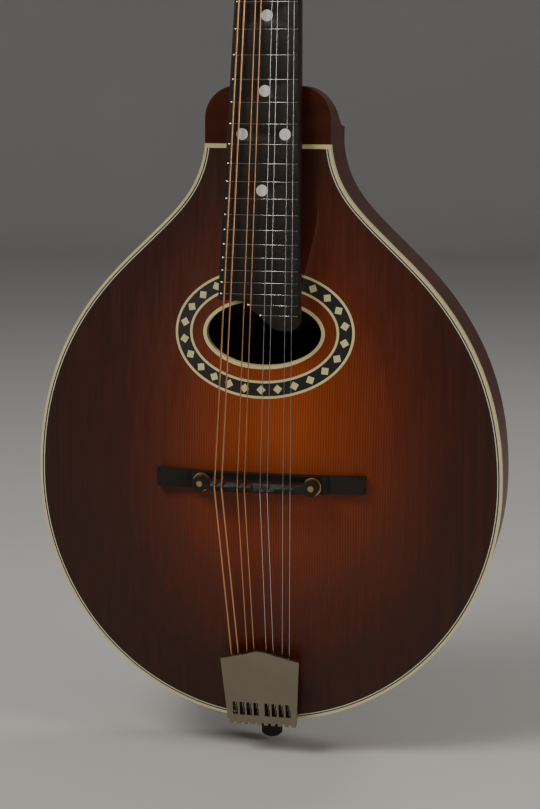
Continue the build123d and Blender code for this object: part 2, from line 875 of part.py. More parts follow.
def make_saddle(grooves):
    """The saddle: round ends over the posts and a notched, stepped crest under the strings."""
    half = string_x(7, saddle_course_spacing, saddle_pair_spacing) + 2.4
    shoulder = saddle_lift - 1.6
    corners = [
        (half, shoulder),
        (bridge_post_half_spacing - saddle_end_radius + 1, saddle_end_lift),
        (bridge_post_half_spacing, saddle_end_lift),
        (bridge_post_half_spacing, saddle_base_lift),
        (half + 1, saddle_base_lift),
        (half - 2, saddle_base_lift + saddle_relief),
    ]
    saddle = bridge_profile(both_sides(corners), saddle_width)
    for side in (-1, 1):
        saddle = saddle + bridge_cylinder(side, saddle_base_lift, saddle_end_lift, saddle_end_radius)
    for number, course in enumerate(courses):
        middle = (number - 1.5) * saddle_course_spacing
        low = middle - saddle_course_spacing / 2 if number > 0 else -half
        high = middle + saddle_course_spacing / 2 if number < 3 else half
        saddle = saddle + saddle_crest(low, high, saddle_offset[course], shoulder)
    for side in (-1, 1):
        saddle = saddle - bridge_cylinder(side, saddle_base_lift - 1, saddle_end_lift + 1, saddle_bore)
    saddle = on_body(saddle)
    for groove in grooves:
        saddle = saddle - groove
    return saddle


def saddle_crest(low, high, offset, shoulder):
    """The roof-shaped crest under one course, its ridge set towards the tail by offset."""
    half = saddle_width / 2
    ridge = saddle_lift + 0.3
    corners = [
        (half, shoulder - 2),
        (half, shoulder),
        (-offset + 0.4, ridge),
        (-offset - 0.4, ridge),
        (-half, shoulder),
        (-half, shoulder - 2),
    ]
    face = Face(Wire.make_polygon([Vector(low, -bridge_station + y, lift) for y, lift in corners]))
    return extrude(face, high - low, dir=(1, 0, 0))


def make_tailpiece():
    """The cast tailpiece: sloping plate, eight slots with hooks, scalloped end and a leg down the rim."""
    fall = tailpiece_top_lift - tailpiece_tail_lift
    length = tail_station - tailpiece_top_station - 0.4
    slope = degrees(atan2(fall, length))
    top = tailpiece_top_half_width
    tail = tailpiece_tail_half_width
    crown = ThreePointArc((-top * 0.3, tailpiece_peak * 0.72), (0, tailpiece_peak), (top * 0.3, tailpiece_peak * 0.72))
    edges = [
        Line((-tail, -length), (-top, 0)),
        Line((-top, 0), crown @ 0),
        crown,
        Line(crown @ 1, (top, 0)),
        Line((top, 0), (tail, -length)),
        Line((tail, -length), (-tail, -length)),
    ]
    plate = extrude(Face(Wire(edges)), tailpiece_thickness, dir=(0, 0, -1))
    for index in range(8):
        x = hook_x(index)
        plate = plate - block(
            x - slot_width / 2, x + slot_width / 2, -length + slot_margin, -length + slot_margin + slot_length, -9, 9
        )
    pitch = 2 * tail / scallops
    for number in range(scallops):
        x = -tail + pitch * (number + 0.5) + pitch / 2
        if number < scallops - 1:
            plate = plate - Pos(x, -length - 0.2, 0) * Cylinder(pitch * 0.2, 20)
    place = Pos(0, -tailpiece_top_station, tailpiece_top_lift) * Rot(slope, 0, 0)
    tailpiece = place * plate
    inner = tail_station + leg_gap
    sill_start = hook_station + hook_reach
    sill = block(-tail + 0.6, tail - 0.6, -inner - leg_thickness, -sill_start, sill_lift, tailpiece_tail_lift - 1)
    leg = block(-leg_half_width, leg_half_width, -inner - leg_thickness, -inner, -leg_length, sill_lift + 1)
    tailpiece = tailpiece + sill + leg
    for number in range(1, scallops):
        notch = Pos(-tail + pitch * number, -inner - leg_thickness, sill_lift + 5) * Cylinder(pitch * 0.25, 12)
        tailpiece = tailpiece - notch
    for index in range(8):
        x = hook_x(index)
        tailpiece = tailpiece + rod((x, -hook_station + 1.4, hook_lift), (x, -sill_start - 1, hook_lift), hook_radius)
    return tailpiece


def tail_screw_places():
    """Where the leg's screws go into the tail block: x and lift."""
    return [(-9, -12), (9, -12), (0, -34)]


def tail_screw(place):
    """A wood screw through the leg, rim and tail block."""
    x, lift = place
    face = -tail_station - leg_gap - leg_thickness
    shank = rod((x, face, lift), (x, face + screw_length, lift), screw_radius)
    head = rod((x, face - screw_head_height, lift), (x, face, lift), screw_head_radius)
    return head + shank


def make_end_pin():
    """The turned end pin that the strap hangs from."""
    face = tail_station + leg_gap + leg_thickness
    tip = face + end_pin_reach
    sketch = Polyline(
        (0, face - 12),
        (end_pin_shank, face - 12),
        (end_pin_shank, face),
        (end_pin_radius * 0.85, face),
        (end_pin_radius * 0.85, face + 2),
        (end_pin_waist, face + 4),
        (end_pin_waist, face + 6),
        (end_pin_radius, face + 7.5),
        (end_pin_radius, tip - 1.5),
        (end_pin_radius - 1.5, tip),
        (0, tip),
        (0, face - 12),
    )
    turned = revolve(Face(Wire(sketch.edges())), Axis.Y, 360)
    pin = Rot(180, 0, 0) * turned
    return Pos(0, 0, -rim_depth / 2) * pin


# Tuners, on the headstock's frame
plate_back = -headstock_thickness - tuner_plate_thickness
worm_peak = worm_radius + tooth_depth
worm_height = plate_back - gap - worm_peak
worm_offset = gear_radius + worm_radius + mesh_clearance
thread_pitch = 2 * pi * gear_radius / gear_teeth
gear_top = worm_height + gear_face / 2


def make_gear(x, up):
    """The gear on the back end of a string post, a tooth pointing at the worm."""
    points = []
    count = gear_teeth * 6
    for step in range(count):
        turn = 2 * pi * step / count
        radius = gear_radius + tooth_depth * cos(gear_teeth * (turn - pi / 2))
        points.append(Vector(radius * cos(turn), radius * sin(turn), 0))
    edge = Edge.make_spline(points, periodic=True)
    gear = Pos(x, up, gear_top) * extrude(Face(Wire([edge])), gear_face, dir=(0, 0, -1))
    return gear - rod((x, up, gear_top + 1), (x, up, gear_top - gear_face - 1), gear_hub_radius)


def make_post(index):
    """A string post with its gear, the gear's screw and the turns of string round it."""
    x, up = post_place(index)
    body = rod((x, up, gear_top), (x, up, post_height), post_radius)
    collar = rod((x, up, gear_top), (x, up, plate_back - turning_clearance), post_radius + 0.7)
    hub = rod((x, up, gear_top - gear_face), (x, up, gear_top), gear_hub_radius)
    post = body + collar + hub
    hole = rod((x - 6, up, string_hole_height), (x + 6, up, string_hole_height), string_hole_radius)
    post = post - hole
    top = post.edges().sort_by(Axis.Z)[-1]
    post = fillet(top, 0.8)
    screw_face = gear_top - gear_face
    screw = rod((x, up, screw_face - 1.2), (x, up, screw_face), gear_hub_radius + 0.4)
    wire = string_radius(index)
    half = wrap_turns * wire
    outer = rod((x, up, wrap_height - half), (x, up, wrap_height + half), post_radius + 2 * wire)
    wrap = outer - rod((x, up, 0), (x, up, post_height), post_radius)
    return [post, make_gear(x, up), screw, wrap]


def make_key(index):
    """A tuning key: worm on its shaft, and the button at the outer end."""
    x, post_up = post_place(index)
    side = 1 if x > 0 else -1
    up = post_up + worm_offset
    shaft = rod((x - side * (worm_length / 2 + 2.2), up, worm_height), (side * key_reach, up, worm_height), key_radius)
    turns = worm_length / thread_pitch
    start = Face(Wire.make_circle(worm_radius))
    start_turn = -180 * turns
    section = Rot(0, 0, start_turn) * Pos(tooth_depth, 0, 0) * start
    worm = Solid.extrude_linear_with_rotation(section, (0, 0, 0), (0, 0, worm_length), 360 * turns)
    frame = Plane(origin=(x - worm_length / 2, up, worm_height), x_dir=(0, 1, 0), z_dir=(1, 0, 0))
    shaft = shaft + frame.location * worm
    grip = extrude(Ellipse(button_height / 2, button_thickness / 2), button_length)
    grip = fillet(grip.edges(), button_thickness * 0.18)
    outward = Plane(origin=(side * (key_reach - 3), up, worm_height), x_dir=(0, 1, 0), z_dir=(side, 0, 0))
    button = (outward.location * grip) - shaft
    return [shaft, button]


def plate_screw_places(side):
    """Where one tuner plate's screws go: x and distance up the headstock."""
    places = [(side * post_half_spacing, first_post - 7.2)]
    for number in range(posts_per_side):
        places.append((side * post_half_spacing, first_post + number * post_spacing + 13.5))
    return places


def head_screw(place, face, length, into):
    """A small screw whose head sits on a face; into is the way its point goes."""
    x, up = place
    shank = rod((x, up, face), (x, up, face + into * length), small_screw_radius)
    head = rod((x, up, face - into * small_screw_head_height), (x, up, face), small_screw_head_radius)
    return head + shank


def make_tuner_plate(side):
    """Four tuners' plate with the pair of ears that carry each key."""
    near = side * (post_half_spacing - plate_width * 0.42)
    far = side * (post_half_spacing + plate_width * 0.58)
    low = first_post - 11
    high = first_post + (posts_per_side - 1) * post_spacing + 18
    plate = block(min(near, far), max(near, far), low, high, plate_back, -headstock_thickness)
    for number in range(posts_per_side):
        up = first_post + number * post_spacing
        worm_up = up + worm_offset
        x = side * post_half_spacing
        for away in (-1, 1):
            middle = x + away * (worm_length / 2 + gap + ear_thickness / 2)
            ear = block(
                middle - ear_thickness / 2,
                middle + ear_thickness / 2,
                worm_up - ear_half_width,
                worm_up + ear_half_width,
                worm_height - ear_half_width,
                plate_back,
            )
            plate = plate + ear
    for number in range(posts_per_side):
        up = first_post + number * post_spacing
        worm_up = up + worm_offset
        x = side * post_half_spacing
        plate = plate - rod((x - 9, worm_up, worm_height), (x + 9, worm_up, worm_height), key_radius + turning_clearance)
        plate = plate - rod((x, up, plate_back - 1), (x, up, 0), post_radius + turning_clearance)
    return plate


def make_bushing(index):
    """The flanged sleeve in the headstock's face round a string post."""
    x, up = post_place(index)
    sleeve = rod((x, up, -bushing_length), (x, up, 0), bushing_radius)
    flange = rod((x, up, 0), (x, up, 1.2), bushing_radius + 1.0)
    bore = rod((x, up, -bushing_length - 1), (x, up, 2), post_radius + turning_clearance)
    return sleeve + flange - bore


def cover_screw_places():
    """Where the truss rod cover's screws go: x and distance up the headstock."""
    return [(-6.4, 4.6), (6.4, 4.6), (0, truss_cover_length - 3.2)]


def make_truss_cover():
    """The bell-shaped cover over the truss rod's end."""
    right = Spline(
        (8.6, 1.6),
        (8.4, 9),
        (4.4, truss_cover_length * 0.62),
        (3.4, truss_cover_length - 4),
        tangents=[(0, 1), (0, 1)],
        tangent_scalars=[1, 1],
    )
    tip = ThreePointArc(right @ 1, (0, truss_cover_length), (-3.4, truss_cover_length - 4))
    left = right.mirror(Plane.YZ)
    base = Line(left @ 0, right @ 0)
    return extrude(Face(Wire([base, right, tip, left])), truss_cover_thickness)


def make_truss_nut():
    """The truss rod's nut, with a six-sided socket, in its pocket."""
    depth = board_thickness + truss_rod_depth
    start = -(nut_thickness + gap + 1.2)
    nut = board_rod(start, start - truss_nut_length, depth, truss_nut_radius)
    socket = Pos(0, -start + truss_nut_length, -depth) * Rot(90, 0, 0) * extrude(RegularPolygon(2.0, 6), 5)
    return nut - socket


def build():
    """Make every sub-part and write it."""
    top_parts, mound, hollow = make_top()
    neck, cap, veneer = make_neck()
    rim, head_block, tail_block, top_lining, back_lining = make_body_frame()
    board, frets, markers = make_fingerboard()
    grooves = string_grooves(seat_clearance)

    for name, solids in top_parts.items():
        save(name, *[on_body(solid) for solid in solids])
    save("back_plate", on_body(make_back()))
    save("top_lining", on_body(top_lining))
    save("back_lining", on_body(back_lining))
    save("head_block", on_body(head_block))
    save("top_brace", on_body(make_brace(hollow)))
    save("heel_cap", cap)

    tail_screws = [tail_screw(place) for place in tail_screw_places()]
    end_pin = make_end_pin()
    save("rim", on_body(rim - tail_screws - end_pin))
    save("tail_block", on_body(tail_block - tail_screws - end_pin))
    save("tailpiece", on_body(make_tailpiece() - tail_screws - end_pin))
    save("tailpiece_screws", *[on_body(screw) for screw in tail_screws])
    save("end_pin", on_body(end_pin))

    save("fretboard", on_board(board))
    save("frets", *[on_board(fret) for fret in frets])
    save("fret_markers", *[on_board(marker) for marker in markers])
    save("nut", make_nut(neck, veneer, grooves))
    rod_depth = board_thickness + truss_rod_depth
    rod_start = -(nut_thickness + gap + 1)
    save("truss_rod", on_board(board_rod(rod_start, truss_rod_end_run, rod_depth, truss_rod_radius)))
    save("truss_rod_nut", on_board(make_truss_nut()))

    save("bridge_base", on_body(make_bridge_base(mound) - bridge_posts()))
    save("bridge_posts", *[on_body(post) for post in bridge_posts()])
    save("thumbwheel_bass", on_body(make_thumbwheel(-1)))
    save("thumbwheel_treble", on_body(make_thumbwheel(1)))
    save("bridge_saddle", make_saddle(grooves))

    plate_screws = []
    for side in (-1, 1):
        for place in plate_screw_places(side):
            plate_screws.append(head_screw(place, plate_back, 9, 1))
    cover_screws = [head_screw(place, truss_cover_thickness, 7, -1) for place in cover_screw_places()]
    bushings = [make_bushing(index) for index in range(8)]
    post_holes = []
    for index in range(8):
        x, up = post_place(index)
        post_holes.append(rod((x, up, -headstock_thickness - 1), (x, up, 1), post_radius + gap))
        post_holes.append(rod((x, up, -bushing_length), (x, up, 1), bushing_radius))
    save("headstock_veneer", veneer - [on_head(hole) for hole in post_holes + cover_screws])
    save("neck", neck - [on_head(hole) for hole in post_holes + plate_screws + cover_screws])
    save("truss_rod_cover", on_head(make_truss_cover() - cover_screws))
    save("headstock_screws", *[on_head(screw) for screw in plate_screws + cover_screws])
    save("post_bushings", *[on_head(bushing) for bushing in bushings])
    for name, side in (("bass", -1), ("treble", 1)):
        save(f"tuner_plate_{name}", on_head(make_tuner_plate(side) - plate_screws))
    for index in range(8):
        save(f"string_post_{index + 1}", *[on_head(piece) for piece in make_post(index)])
        save(f"tuner_key_{index + 1}", *[on_head(piece) for piece in make_key(index)])
    for number, course in enumerate(courses):
        save(f"strings_{course}", make_string(2 * number), make_string(2 * number + 1))


def bridge_posts():
    """The two threaded posts that stand in the base."""
    posts = []
    for side in (-1, 1):
        posts.append(bridge_cylinder(side, base_lift - 4, saddle_end_lift - 0.4, bridge_post_radius))
    return posts


build()
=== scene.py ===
import json
import math

import bmesh
import bpy
from mathutils import Euler, Matrix, Vector


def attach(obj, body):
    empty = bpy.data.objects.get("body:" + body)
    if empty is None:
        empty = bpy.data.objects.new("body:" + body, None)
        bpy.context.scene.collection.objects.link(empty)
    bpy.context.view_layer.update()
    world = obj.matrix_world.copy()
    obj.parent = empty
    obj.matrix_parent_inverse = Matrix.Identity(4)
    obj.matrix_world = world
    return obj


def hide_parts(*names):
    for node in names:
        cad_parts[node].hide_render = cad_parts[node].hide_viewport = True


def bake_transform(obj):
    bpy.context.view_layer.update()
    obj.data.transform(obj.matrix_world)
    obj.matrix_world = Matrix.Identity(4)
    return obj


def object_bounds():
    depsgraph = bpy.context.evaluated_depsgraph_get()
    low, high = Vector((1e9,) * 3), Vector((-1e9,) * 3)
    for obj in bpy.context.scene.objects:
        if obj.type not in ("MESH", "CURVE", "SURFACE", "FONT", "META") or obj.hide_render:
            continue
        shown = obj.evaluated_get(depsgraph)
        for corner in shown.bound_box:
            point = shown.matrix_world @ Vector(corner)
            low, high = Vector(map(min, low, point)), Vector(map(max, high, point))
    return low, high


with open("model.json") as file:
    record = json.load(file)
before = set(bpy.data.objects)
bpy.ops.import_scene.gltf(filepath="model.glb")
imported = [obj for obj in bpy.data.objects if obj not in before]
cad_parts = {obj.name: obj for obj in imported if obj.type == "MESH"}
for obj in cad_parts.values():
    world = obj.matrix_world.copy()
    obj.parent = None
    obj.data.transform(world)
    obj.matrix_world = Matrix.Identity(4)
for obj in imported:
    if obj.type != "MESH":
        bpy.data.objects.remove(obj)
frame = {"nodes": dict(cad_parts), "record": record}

cad_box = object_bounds()
MM = 0.001

# Sizes of the instrument, in millimetres and degrees, as the CAD model has them
SCALE_LENGTH = 352.4
NECK_ANGLE = math.radians(6.66)
BOARD_LIFT_AT_JOINT = 10.7
ORIGIN_DEPTH = 10.0
HEAD_TILT = NECK_ANGLE + math.radians(13.0)
NUT_THICKNESS = 4.5
HEAD_STEP = 4.0
BODY_LENGTH = 313.0
POST_RADIUS = 3.0
WRAP_HEIGHT = 5.0
FIRST_POST = 36.0
POST_SPACING = 23.0
POST_HALF_SPACING = 19.0
STRING_RADIUS = [0.51, 0.33, 0.19, 0.14]
SADDLE_OFFSET = [0.0, 0.0, 1.6, 0.0]
HOOK_LIFT = 3.4
HOOK_STATION = BODY_LENGTH - 7.0

WRAP_TURNS = 3
TWIST_LENGTH = 5.0
TWIST_TURNS = 5
HOOK_SPACING = 3.85
HOOK_GAP = 1.175
LOOP_RADIUS = 0.9
LOOP_WIRE = 0.26
NUT_COURSE_SPACING = 7.2
NUT_PAIR_SPACING = 2.6
SADDLE_COURSE_SPACING = 12.1
SADDLE_PAIR_SPACING = 3.8
SEAT = 0.05
WINDING_STEP = 0.16
WINDING_PITCH = 0.48
LEG_REACH = 2.1
TAIL_HALF_WIDTH = 19.2
SCALLOPS = 10
SCALLOP_RADIUS = 0.95

WORM_HEIGHT = -18.85
WORM_OFFSET = 6.4
BUTTON_START = 33.6
FLOOR_RADIUS = 3.2
COVE_RADIUS = 1.0
WALL_HEIGHT = 3.5

JOINT_RUN = SCALE_LENGTH / 2
EDGE_Y = BOARD_LIFT_AT_JOINT - ORIGIN_DEPTH - JOINT_RUN * math.sin(NECK_ANGLE)
JOINT_Z = -JOINT_RUN * math.cos(NECK_ANGLE)
SADDLE_STATION = JOINT_RUN * math.cos(NECK_ANGLE) + 1.5
FRET_HEIGHT = 0.95
NUT_BASE = FRET_HEIGHT + 0.3
SADDLE_BASE = NUT_BASE + 2 * (FRET_HEIGHT + 1.2 - NUT_BASE)
SADDLE_LIFT = BOARD_LIFT_AT_JOINT + SADDLE_STATION * math.tan(NECK_ANGLE) + SADDLE_BASE / math.cos(NECK_ANGLE)


def on_body(x, station, lift):
    """A point of the body, in metres."""
    return Vector((x, EDGE_Y - lift, JOINT_Z - station)) * MM


def on_board(x, up, height):
    """A point over the fingerboard: up is measured from the nut towards the headstock."""
    y = -ORIGIN_DEPTH + up * math.sin(NECK_ANGLE) - height * math.cos(NECK_ANGLE)
    z = up * math.cos(NECK_ANGLE) + height * math.sin(NECK_ANGLE)
    return Vector((x, y, z)) * MM


def on_head(x, up, height):
    """A point over the headstock's face."""
    base = on_board(0, NUT_THICKNESS, -HEAD_STEP)
    y = up * math.sin(HEAD_TILT) - height * math.cos(HEAD_TILT)
    z = up * math.cos(HEAD_TILT) + height * math.sin(HEAD_TILT)
    return base + Vector((x, y, z)) * MM


HEAD_NORMAL = Vector((0, -math.cos(HEAD_TILT), math.sin(HEAD_TILT)))


# Materials


class Shader:
    """A node material under construction."""

    def __init__(self, name, roughness=0.4, metallic=0.0, coat=0.0, coat_roughness=0.2):
        self.material = bpy.data.materials.new(name)
        self.material.use_nodes = True
        self.tree = self.material.node_tree
        self.bsdf = self.tree.nodes["Principled BSDF"]
        self.bsdf.inputs["Roughness"].default_value = roughness
        self.bsdf.inputs["Metallic"].default_value = metallic
        self.bsdf.inputs["Coat Weight"].default_value = coat
        self.bsdf.inputs["Coat Roughness"].default_value = coat_roughness
        self.place = self.node("ShaderNodeTexCoord").outputs["Object"]

    def node(self, kind, **settings):
        made = self.tree.nodes.new(kind)
        for key, value in settings.items():
            setattr(made, key, value)
        return made

    def feed(self, source, target):
        if hasattr(source, "is_linked"):
            self.tree.links.new(source, target)
        else:
            target.default_value = source

    def stretched(self, scale, place=None):
        mapping = self.node("ShaderNodeMapping")
        self.feed(place or self.place, mapping.inputs["Vector"])
        mapping.inputs["Scale"].default_value = scale
        return mapping.outputs["Vector"]

    def noise(self, scale, size=(1, 1, 1), detail=4, rough=0.55, distortion=0.0):
        made = self.node("ShaderNodeTexNoise")
        self.feed(self.stretched(size), made.inputs["Vector"])
        made.inputs["Scale"].default_value = scale
        made.inputs["Detail"].default_value = detail
        made.inputs["Roughness"].default_value = rough
        made.inputs["Distortion"].default_value = distortion
        return made.outputs["Fac"]

    def wave(self, scale, axis, distortion=0.0, detail=2.0, size=(1, 1, 1)):
        made = self.node("ShaderNodeTexWave", bands_direction=axis)
        self.feed(self.stretched(size), made.inputs["Vector"])
        made.inputs["Scale"].default_value = scale
        made.inputs["Distortion"].default_value = distortion
        made.inputs["Detail"].default_value = detail
        return made.outputs["Fac"]

    def maths(self, operation, a, b=0.0, c=0.0):
        made = self.node("ShaderNodeMath", operation=operation)
        self.feed(a, made.inputs[0])
        self.feed(b, made.inputs[1])
        self.feed(c, made.inputs[2])
        return made.outputs[0]

    def ramp(self, factor, stops):
        made = self.node("ShaderNodeValToRGB")
        elements = made.color_ramp.elements
        while len(elements) < len(stops):
            elements.new(0.5)
        for element, (place, colour) in zip(elements, stops):
            element.position = place
            element.color = (*colour, 1) if len(colour) == 3 else colour
        self.feed(factor, made.inputs["Fac"])
        return made.outputs["Color"]

    def mix(self, factor, a, b, blend="MIX"):
        made = self.node("ShaderNodeMix", data_type="RGBA", blend_type=blend)
        self.feed(factor, made.inputs[0])
        self.feed(a if hasattr(a, "is_linked") else (*a, 1), made.inputs[6])
        self.feed(b if hasattr(b, "is_linked") else (*b, 1), made.inputs[7])
        return made.outputs[2]

    def range(self, value, low, high):
        made = self.node("ShaderNodeMapRange")
        self.feed(value, made.inputs["Value"])
        made.inputs["To Min"].default_value = low
        made.inputs["To Max"].default_value = high
        return made.outputs["Result"]

    def colour(self, source):
        self.feed(source if hasattr(source, "is_linked") else (*source, 1), self.bsdf.inputs["Base Color"])
        return self

    def roughness(self, source, low, high):
        self.feed(self.range(source, low, high), self.bsdf.inputs["Roughness"])
        return self

    def bump(self, source, distance, strength=0.5):
        made = self.node("ShaderNodeBump")
        made.inputs["Strength"].default_value = strength
        made.inputs["Distance"].default_value = distance
        self.feed(source, made.inputs["Height"])
        self.feed(made.outputs["Normal"], self.bsdf.inputs["Normal"])
        return self


def sunburst_distance(shader, centre_z, half_width, half_height):
    """Distance from the light middle of the sunburst: 1 at the oval's edge."""
    split = shader.node("ShaderNodeSeparateXYZ")
    shader.feed(shader.place, split.inputs["Vector"])
    across = shader.maths("DIVIDE", shader.maths("SUBTRACT", split.outputs["X"], 0.008), half_width)
    along = shader.maths("DIVIDE", shader.maths("SUBTRACT", split.outputs["Z"], centre_z), half_height)
    across_square = shader.maths("MULTIPLY", across, across)
    along_square = shader.maths("MULTIPLY", along, along)
    return shader.maths("SQRT", shader.maths("ADD", across_square, along_square))


def make_spruce():
    """Spruce under a dark red-brown sunburst: fine upright grain, silk and a satin lacquer."""
    s = Shader("spruce_top", roughness=0.46, coat=0.12, coat_roughness=0.3)
    s.bsdf.inputs["Specular IOR Level"].default_value = 0.32
    centre_z = (JOINT_Z - 150) * MM
    distance = sunburst_distance(s, centre_z, 0.118, 0.172)
    cloud = s.noise(9, (1, 1, 0.6), detail=3)
    edge = s.maths("ADD", distance, s.range(cloud, -0.14, 0.14))
    burst = s.ramp(
        edge,
        [
            (0.0, (0.42, 0.072, 0.003)),
            (0.28, (0.25, 0.036, 0.002)),
            (0.54, (0.092, 0.0105, 0.0018)),
            (0.78, (0.024, 0.0032, 0.0016)),
            (1.0, (0.0085, 0.0018, 0.0014)),
        ],
    )
    wander = s.noise(14, (1, 1, 0.08), detail=2)
    lines = s.wave(230, "X", distortion=2.2, detail=2, size=(1, 1, 0.015))
    streaks = s.noise(420, (1, 1, 0.012), detail=3)
    pores = s.noise(1500, (1, 1, 0.05), detail=2)
    grain = s.mix(s.maths("MULTIPLY", lines, 0.42), burst, (0.01, 0.003, 0.002))
    tone = s.mix(s.maths("MULTIPLY", streaks, 0.75), grain, s.mix(0.14, grain, (0.50, 0.11, 0.008), "SCREEN"))
    worn = s.mix(s.range(wander, 0.0, 0.5), tone, s.mix(1.0, tone, (0.6, 0.5, 0.45), "MULTIPLY"))
    s.colour(worn)
    s.roughness(s.maths("ADD", streaks, s.maths("MULTIPLY", pores, 0.4)), 0.34, 0.5)
    s.bump(s.maths("ADD", s.maths("MULTIPLY", lines, 0.5), pores), 0.00006, 0.35)
    return s.material


def make_maple():
    """The red-brown stained wood of rim, back and neck, with a faint flame across the grain."""
    s = Shader("stained_wood", roughness=0.48, coat=0.06, coat_roughness=0.3)
    s.bsdf.inputs["Specular IOR Level"].default_value = 0.22
    flame = s.wave(26, "Z", distortion=5.0, detail=2.5, size=(0.25, 0.25, 1))
    fibres = s.noise(600, (1, 1, 0.02), detail=3)
    cloud = s.noise(12, (1, 1, 1), detail=3)
    base = s.ramp(cloud, [(0.3, (0.042, 0.0066, 0.0024)), (0.7, (0.078, 0.0125, 0.0036))])
    figured = s.mix(s.maths("MULTIPLY", flame, 0.32), base, (0.095, 0.020, 0.006))
    s.colour(s.mix(s.maths("MULTIPLY", fibres, 0.5), figured, (0.016, 0.004, 0.002)))
    s.roughness(fibres, 0.32, 0.46)
    s.bump(fibres, 0.00005, 0.3)
    return s.material


def make_bare_wood():
    """Unfinished wood inside the body, with dust and tool marks."""
    s = Shader("inside_wood", roughness=0.75)
    rings = s.wave(60, "Y", distortion=4, detail=2, size=(1, 1, 0.1))
    fibres = s.noise(500, (1, 1, 0.03), detail=4)
    base = s.mix(rings, (0.40, 0.27, 0.14), (0.52, 0.37, 0.21))
    s.colour(s.mix(s.maths("MULTIPLY", fibres, 0.4), base, (0.25, 0.15, 0.07)))
    s.roughness(fibres, 0.65, 0.85)
    s.bump(fibres, 0.0001, 0.4)
    return s.material


def make_ebony():
    """Oiled ebony with long fine pores."""
    s = Shader("ebony", roughness=0.45)
    s.bsdf.inputs["Specular IOR Level"].default_value = 0.3
    pores = s.noise(900, (1, 1, 0.03), detail=3)
    streaks = s.noise(90, (1, 1, 0.05), detail=3)
    s.colour(s.mix(streaks, (0.006, 0.005, 0.0045), s.mix(pores, (0.010, 0.008, 0.007), (0.030, 0.022, 0.017))))
    s.roughness(pores, 0.36, 0.58)
    s.bump(pores, 0.00006, 0.4)
    return s.material


def make_ivoroid():
    """Aged cream celluloid with the faint lines of ivoroid."""
    s = Shader("ivoroid", roughness=0.34, coat=0.2, coat_roughness=0.2)
    lines = s.wave(420, "X", distortion=3, detail=2, size=(1, 0.6, 0.25))
    cloud = s.noise(60, detail=3)
    base = s.mix(lines, (0.66, 0.58, 0.29), (0.76, 0.69, 0.40))
    s.colour(s.mix(s.maths("MULTIPLY", cloud, 0.6), base, (0.56, 0.46, 0.20)))
    s.roughness(cloud, 0.28, 0.42)
    s.bump(cloud, 0.00004, 0.3)
    return s.material


def make_fibre(name, dark, light):
    """Dyed fibre strip, flush and satin."""
    s = Shader(name, roughness=0.5)
    grain = s.noise(700, (1, 1, 0.4), detail=3)
    s.colour(s.mix(grain, dark, light))
    s.roughness(grain, 0.42, 0.58)
    s.bump(grain, 0.00003, 0.3)
    return s.material


def make_pearl():
    """Polished shell: pale, with drifting colour and bands of sheen."""
    s = Shader("pearl", roughness=0.16, coat=0.6, coat_roughness=0.06)
    bands = s.wave(260, "DIAGONAL", distortion=9, detail=3)
    cloud = s.noise(420, detail=3)
    tint = s.ramp(bands, [(0.1, (0.52, 0.55, 0.56)), (0.5, (0.74, 0.72, 0.73)), (0.9, (0.60, 0.68, 0.66))])
    s.colour(s.mix(s.maths("MULTIPLY", cloud, 0.5), tint, (0.88, 0.87, 0.86)))
    s.roughness(cloud, 0.12, 0.26)
    s.bump(bands, 0.00002, 0.2)
    return s.material


def make_bone():
    """Polished bone nut."""
    s = Shader("bone", roughness=0.35, coat=0.2)
    flecks = s.noise(900, (1, 0.3, 1), detail=3)
    s.colour(s.mix(flecks, (0.66, 0.60, 0.44), (0.78, 0.74, 0.60)))
    s.roughness(flecks, 0.28, 0.45)
    s.bump(flecks, 0.00003, 0.25)
    return s.material


def make_metal(name, dark, light, rough_low, rough_high, brush=None, spots=40):
    """A metal with tarnish, fine scratches and a little unevenness."""
    s = Shader(name, metallic=1.0)
    tarnish = s.noise(spots, detail=5, rough=0.6)
    scratches = s.noise(1400, brush or (1, 1, 1), detail=2)
    s.colour(s.mix(tarnish, dark, light))
    wear = s.maths("ADD", s.maths("MULTIPLY", tarnish, 0.6), s.maths("MULTIPLY", scratches, 0.4))
    s.roughness(wear, rough_low, rough_high)
    s.bump(scratches, 0.00002, 0.25)
    return s.material


MATERIALS = {
    "spruce_top": make_spruce(),
    "maple_body": make_maple(),
    "inside_wood": make_bare_wood(),
    "ivoroid": make_ivoroid(),
    "white_fibre": make_fibre("white_fibre", (0.55, 0.52, 0.42), (0.72, 0.69, 0.58)),
    "black_fibre": make_fibre("black_fibre", (0.004, 0.004, 0.004), (0.014, 0.013, 0.012)),
    "ebony": make_ebony(),
    "fret_nickel": make_metal("fret_nickel", (0.66, 0.64, 0.60), (0.84, 0.82, 0.78), 0.10, 0.24),
    "pearl": make_pearl(),
    "bone": make_bone(),
    "steel": make_metal("steel", (0.30, 0.30, 0.31), (0.45, 0.45, 0.46), 0.3, 0.5),
    "brass": make_metal("brass", (0.42, 0.24, 0.09), (0.66, 0.42, 0.18), 0.22, 0.42),
    "black_plastic": make_fibre("black_plastic", (0.006, 0.006, 0.007), (0.013, 0.013, 0.014)),
    "nickel_plate": make_metal("nickel_plate", (0.50, 0.47, 0.42), (0.68, 0.66, 0.62), 0.14, 0.30),
    "satin_nickel": make_metal(
        "satin_nickel", (0.24, 0.215, 0.155), (0.33, 0.30, 0.23), 0.30, 0.46, (1, 1, 0.05), 25
    ),
    "bronze_wound": make_metal("bronze_wound", (0.62, 0.29, 0.13), (0.86, 0.46, 0.23), 0.22, 0.38, (0.2, 0.2, 4)),
    "plain_steel": make_metal("plain_steel", (0.55, 0.55, 0.57), (0.75, 0.75, 0.77), 0.18, 0.32, (1, 1, 0.05)),
}
SLOT_OF = {entry["node"]: entry["material_slot"] for entry in frame["record"]["subparts"]}


